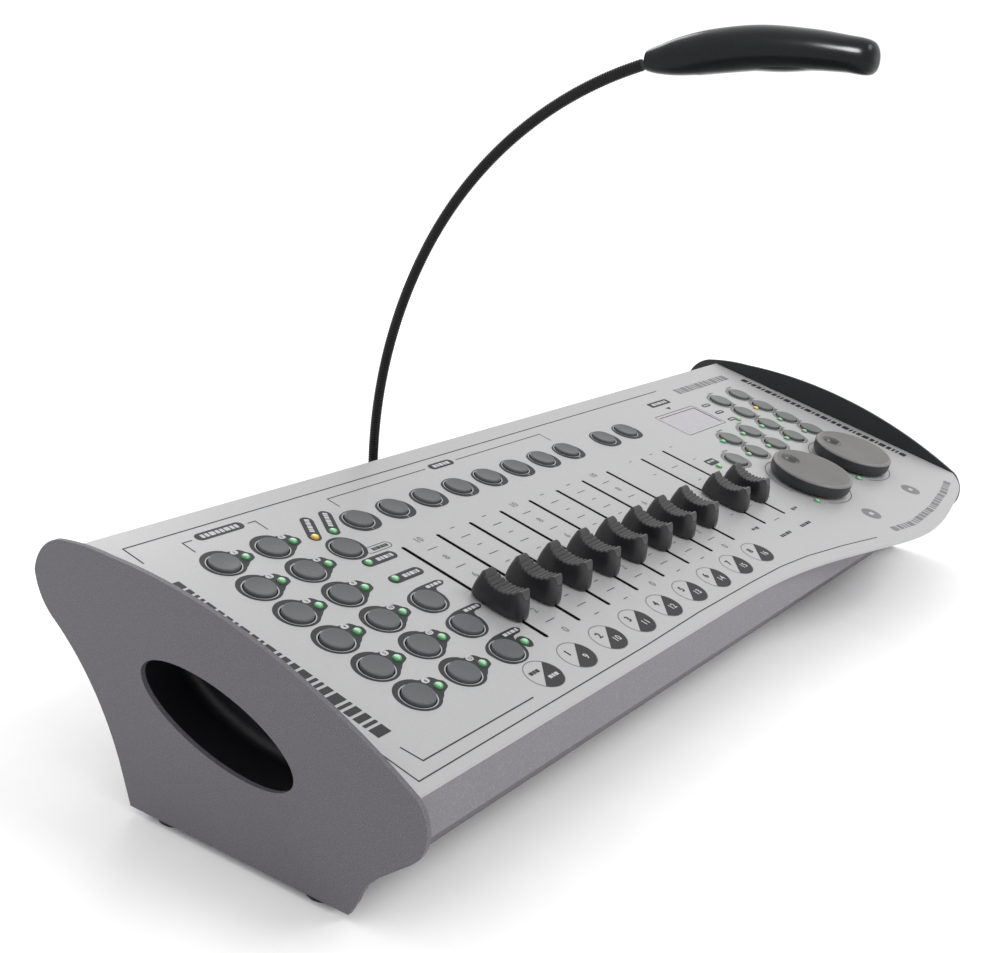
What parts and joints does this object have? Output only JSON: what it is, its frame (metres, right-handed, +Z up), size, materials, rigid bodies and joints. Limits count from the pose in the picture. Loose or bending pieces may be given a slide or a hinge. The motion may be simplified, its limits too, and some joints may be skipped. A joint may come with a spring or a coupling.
{
  "type": "lighting control desk",
  "caption": "Table-top stage lighting control desk with slide faders, push keys, jog wheels, a small display, side grips and a plug-in gooseneck lamp.",
  "frame": {"origin": "centre of the whole object's footprint box, on the plane under its rubber feet", "axes": "+X to the operator's right along the width, +Y to the rear, +Z up"},
  "size_m": [0.5208, 0.2382, 0.2944],
  "materials": {
    "panel_silver": "light silver-grey satin powder coat",
    "tray_grey": "mid grey fine-textured powder coat",
    "cheek_grey": "dark grey fine-textured powder coat",
    "cup_black": "black moulded plastic",
    "board_green": "green solder mask",
    "switch_black": "black moulded plastic",
    "led_green": "diffused green lens, two of them yellow",
    "display_grey": "pale lilac-grey display glass",
    "socket_metal": "nickel plate",
    "socket_black": "black moulded plastic",
    "foot_rubber": "black rubber",
    "screw_steel": "zinc-plated steel",
    "plug_black": "black moulded plastic",
    "neck_black": "black coated spiral",
    "lamp_gloss": "gloss black moulded plastic",
    "lens_clear": "frosted clear lens",
    "jog_grey": "warm grey moulded plastic with dark sides",
    "knob_black": "black moulded plastic",
    "key_grey": "slate grey moulded plastic"
  },
  "bodies": {
    "desk": {"faceplate": "panel_silver", "chassis_tray": "tray_grey", "left_cheek": "cheek_grey", "right_cheek": "cheek_grey", "grip_cups": "cup_black", "control_board": "board_green", "tactile_switches": "switch_black", "indicator_leds": "led_green", "display_module": "display_grey", "slide_potentiometers": "switch_black", "jog_encoders": "socket_metal", "signal_sockets": "socket_metal", "power_fittings": "socket_black", "rubber_feet": "foot_rubber", "screws_and_standoffs": "screw_steel"},
    "fixture_key_1": {"fixture_key_1": "key_grey"},
    "fixture_key_2": {"fixture_key_2": "key_grey"},
    "fixture_key_3": {"fixture_key_3": "key_grey"},
    "fixture_key_4": {"fixture_key_4": "key_grey"},
    "fixture_key_5": {"fixture_key_5": "key_grey"},
    "fixture_key_6": {"fixture_key_6": "key_grey"},
    "fixture_key_7": {"fixture_key_7": "key_grey"},
    "fixture_key_8": {"fixture_key_8": "key_grey"},
    "fixture_key_9": {"fixture_key_9": "key_grey"},
    "fixture_key_10": {"fixture_key_10": "key_grey"},
    "fixture_key_11": {"fixture_key_11": "key_grey"},
    "fixture_key_12": {"fixture_key_12": "key_grey"},
    "function_key_1": {"function_key_1": "key_grey"},
    "function_key_2": {"function_key_2": "key_grey"},
    "function_key_3": {"function_key_3": "key_grey"},
    "function_key_4": {"function_key_4": "key_grey"},
    "scene_key_1": {"scene_key_1": "key_grey"},
    "scene_key_2": {"scene_key_2": "key_grey"},
    "scene_key_3": {"scene_key_3": "key_grey"},
    "scene_key_4": {"scene_key_4": "key_grey"},
    "scene_key_5": {"scene_key_5": "key_grey"},
    "scene_key_6": {"scene_key_6": "key_grey"},
    "scene_key_7": {"scene_key_7": "key_grey"},
    "scene_key_8": {"scene_key_8": "key_grey"},
    "page_key_1": {"page_key_1": "key_grey"},
    "page_key_2": {"page_key_2": "key_grey"},
    "edit_keys": {"edit_keys": "key_grey"},
    "fader_knob_1": {"fader_knob_1": "knob_black"},
    "fader_knob_2": {"fader_knob_2": "knob_black"},
    "fader_knob_3": {"fader_knob_3": "knob_black"},
    "fader_knob_4": {"fader_knob_4": "knob_black"},
    "fader_knob_5": {"fader_knob_5": "knob_black"},
    "fader_knob_6": {"fader_knob_6": "knob_black"},
    "fader_knob_7": {"fader_knob_7": "knob_black"},
    "fader_knob_8": {"fader_knob_8": "knob_black"},
    "fader_knob_9": {"fader_knob_9": "knob_black"},
    "fader_knob_10": {"fader_knob_10": "knob_black"},
    "jog_wheel_left": {"jog_wheel_left": "jog_grey"},
    "jog_wheel_right": {"jog_wheel_right": "jog_grey"},
    "power_rocker": {"power_rocker": "socket_black"},
    "lamp_plug": {"lamp_plug": "plug_black"},
    "lamp_neck_lower": {"gooseneck_lower": "neck_black"},
    "lamp_neck_upper": {"gooseneck_upper": "neck_black", "lamp_shell": "lamp_gloss", "lamp_lens": "lens_clear"}
  },
  "joints": [
    {"name": "fixture_key_1_press", "type": "slide", "parent": "desk", "child": "fixture_key_1", "axis": [0, 0.2463, -0.9692], "range_m": [0, 0.0008], "stiffness_N_per_m": 600},
    {"name": "fixture_key_2_press", "type": "slide", "parent": "desk", "child": "fixture_key_2", "axis": [0, 0.2463, -0.9692], "range_m": [0, 0.0008], "stiffness_N_per_m": 600},
    {"name": "fixture_key_3_press", "type": "slide", "parent": "desk", "child": "fixture_key_3", "axis": [0, 0.2463, -0.9692], "range_m": [0, 0.0008], "stiffness_N_per_m": 600},
    {"name": "fixture_key_4_press", "type": "slide", "parent": "desk", "child": "fixture_key_4", "axis": [0, 0.2463, -0.9692], "range_m": [0, 0.0008], "stiffness_N_per_m": 600},
    {"name": "fixture_key_5_press", "type": "slide", "parent": "desk", "child": "fixture_key_5", "axis": [0, 0.2463, -0.9692], "range_m": [0, 0.0008], "stiffness_N_per_m": 600},
    {"name": "fixture_key_6_press", "type": "slide", "parent": "desk", "child": "fixture_key_6", "axis": [0, 0.2463, -0.9692], "range_m": [0, 0.0008], "stiffness_N_per_m": 600},
    {"name": "fixture_key_7_press", "type": "slide", "parent": "desk", "child": "fixture_key_7", "axis": [0, 0.2463, -0.9692], "range_m": [0, 0.0008], "stiffness_N_per_m": 600},
    {"name": "fixture_key_8_press", "type": "slide", "parent": "desk", "child": "fixture_key_8", "axis": [0, 0.2463, -0.9692], "range_m": [0, 0.0008], "stiffness_N_per_m": 600},
    {"name": "fixture_key_9_press", "type": "slide", "parent": "desk", "child": "fixture_key_9", "axis": [0, 0.2463, -0.9692], "range_m": [0, 0.0008], "stiffness_N_per_m": 600},
    {"name": "fixture_key_10_press", "type": "slide", "parent": "desk", "child": "fixture_key_10", "axis": [0, 0.2463, -0.9692], "range_m": [0, 0.0008], "stiffness_N_per_m": 600},
    {"name": "fixture_key_11_press", "type": "slide", "parent": "desk", "child": "fixture_key_11", "axis": [0, 0.2463, -0.9692], "range_m": [0, 0.0008], "stiffness_N_per_m": 600},
    {"name": "fixture_key_12_press", "type": "slide", "parent": "desk", "child": "fixture_key_12", "axis": [0, 0.2463, -0.9692], "range_m": [0, 0.0008], "stiffness_N_per_m": 600},
    {"name": "function_key_1_press", "type": "slide", "parent": "desk", "child": "function_key_1", "axis": [0, 0.2463, -0.9692], "range_m": [0, 0.0008], "stiffness_N_per_m": 600},
    {"name": "function_key_2_press", "type": "slide", "parent": "desk", "child": "function_key_2", "axis": [0, 0.2463, -0.9692], "range_m": [0, 0.0008], "stiffness_N_per_m": 600},
    {"name": "function_key_3_press", "type": "slide", "parent": "desk", "child": "function_key_3", "axis": [0, 0.2463, -0.9692], "range_m": [0, 0.0008], "stiffness_N_per_m": 600},
    {"name": "function_key_4_press", "type": "slide", "parent": "desk", "child": "function_key_4", "axis": [0, 0.2463, -0.9692], "range_m": [0, 0.0008], "stiffness_N_per_m": 600},
    {"name": "scene_key_1_press", "type": "slide", "parent": "desk", "child": "scene_key_1", "axis": [0, 0.2463, -0.9692], "range_m": [0, 0.0008], "stiffness_N_per_m": 600},
    {"name": "scene_key_2_press", "type": "slide", "parent": "desk", "child": "scene_key_2", "axis": [0, 0.2463, -0.9692], "range_m": [0, 0.0008], "stiffness_N_per_m": 600},
    {"name": "scene_key_3_press", "type": "slide", "parent": "desk", "child": "scene_key_3", "axis": [0, 0.2463, -0.9692], "range_m": [0, 0.0008], "stiffness_N_per_m": 600},
    {"name": "scene_key_4_press", "type": "slide", "parent": "desk", "child": "scene_key_4", "axis": [0, 0.2463, -0.9692], "range_m": [0, 0.0008], "stiffness_N_per_m": 600},
    {"name": "scene_key_5_press", "type": "slide", "parent": "desk", "child": "scene_key_5", "axis": [0, 0.2463, -0.9692], "range_m": [0, 0.0008], "stiffness_N_per_m": 600},
    {"name": "scene_key_6_press", "type": "slide", "parent": "desk", "child": "scene_key_6", "axis": [0, 0.2463, -0.9692], "range_m": [0, 0.0008], "stiffness_N_per_m": 600},
    {"name": "scene_key_7_press", "type": "slide", "parent": "desk", "child": "scene_key_7", "axis": [0, 0.2463, -0.9692], "range_m": [0, 0.0008], "stiffness_N_per_m": 600},
    {"name": "scene_key_8_press", "type": "slide", "parent": "desk", "child": "scene_key_8", "axis": [0, 0.2463, -0.9692], "range_m": [0, 0.0008], "stiffness_N_per_m": 600},
    {"name": "page_key_1_press", "type": "slide", "parent": "desk", "child": "page_key_1", "axis": [0, 0.2463, -0.9692], "range_m": [0, 0.0008], "stiffness_N_per_m": 600},
    {"name": "page_key_2_press", "type": "slide", "parent": "desk", "child": "page_key_2", "axis": [0, 0.2463, -0.9692], "range_m": [0, 0.0008], "stiffness_N_per_m": 600},
    {"name": "edit_keys_press", "type": "slide", "parent": "desk", "child": "edit_keys", "axis": [0, 0.2463, -0.9692], "range_m": [0, 0.0008], "stiffness_N_per_m": 7800},
    {"name": "fader_1_slide", "type": "slide", "parent": "desk", "child": "fader_knob_1", "axis": [0, 0.9692, 0.2463], "range_m": [-0.02163, 0.04837]},
    {"name": "fader_2_slide", "type": "slide", "parent": "desk", "child": "fader_knob_2", "axis": [0, 0.9692, 0.2463], "range_m": [-0.02163, 0.04837]},
    {"name": "fader_3_slide", "type": "slide", "parent": "desk", "child": "fader_knob_3", "axis": [0, 0.9692, 0.2463], "range_m": [-0.02163, 0.04837]},
    {"name": "fader_4_slide", "type": "slide", "parent": "desk", "child": "fader_knob_4", "axis": [0, 0.9692, 0.2463], "range_m": [-0.02163, 0.04837]},
    {"name": "fader_5_slide", "type": "slide", "parent": "desk", "child": "fader_knob_5", "axis": [0, 0.9692, 0.2463], "range_m": [-0.02163, 0.04837]},
    {"name": "fader_6_slide", "type": "slide", "parent": "desk", "child": "fader_knob_6", "axis": [0, 0.9692, 0.2463], "range_m": [-0.02163, 0.04837]},
    {"name": "fader_7_slide", "type": "slide", "parent": "desk", "child": "fader_knob_7", "axis": [0, 0.9692, 0.2463], "range_m": [-0.02163, 0.04837]},
    {"name": "fader_8_slide", "type": "slide", "parent": "desk", "child": "fader_knob_8", "axis": [0, 0.9692, 0.2463], "range_m": [-0.02163, 0.04837]},
    {"name": "fader_9_slide", "type": "slide", "parent": "desk", "child": "fader_knob_9", "axis": [0, 0.9692, 0.2463], "range_m": [-0.02163, 0.04837]},
    {"name": "fader_10_slide", "type": "slide", "parent": "desk", "child": "fader_knob_10", "axis": [0, 0.9692, 0.2463], "range_m": [-0.02163, 0.04837]},
    {"name": "jog_left_turn", "type": "hinge", "parent": "desk", "child": "jog_wheel_left", "pos_m": [0.1362, -0.03564, 0.07003], "axis": [0, -0.2463, 0.9692], "continuous": true},
    {"name": "jog_right_turn", "type": "hinge", "parent": "desk", "child": "jog_wheel_right", "pos_m": [0.1968, -0.03516, 0.07015], "axis": [0, -0.2463, 0.9692], "continuous": true},
    {"name": "power_rocker_tip", "type": "hinge", "parent": "desk", "child": "power_rocker", "pos_m": [-0.2024, 0.08386, 0.0767], "axis": [0, 0, 1], "range_deg": [-20, 0]},
    {"name": "lamp_swivel", "type": "hinge", "parent": "desk", "child": "lamp_plug", "pos_m": [-0.0601, 0.08586, 0.0767], "axis": [0, 1, 0], "range_deg": [-45, 45]},
    {"name": "neck_bend_low", "type": "hinge", "parent": "lamp_plug", "child": "lamp_neck_lower", "pos_m": [-0.0601, 0.11286, 0.0857], "axis": [1, 0, 0], "range_deg": [-20, 25]},
    {"name": "neck_bend_high", "type": "hinge", "parent": "lamp_neck_lower", "child": "lamp_neck_upper", "pos_m": [-0.0601, 0.08406, 0.1932], "axis": [1, 0, 0], "range_deg": [-25, 30]}
  ]
}
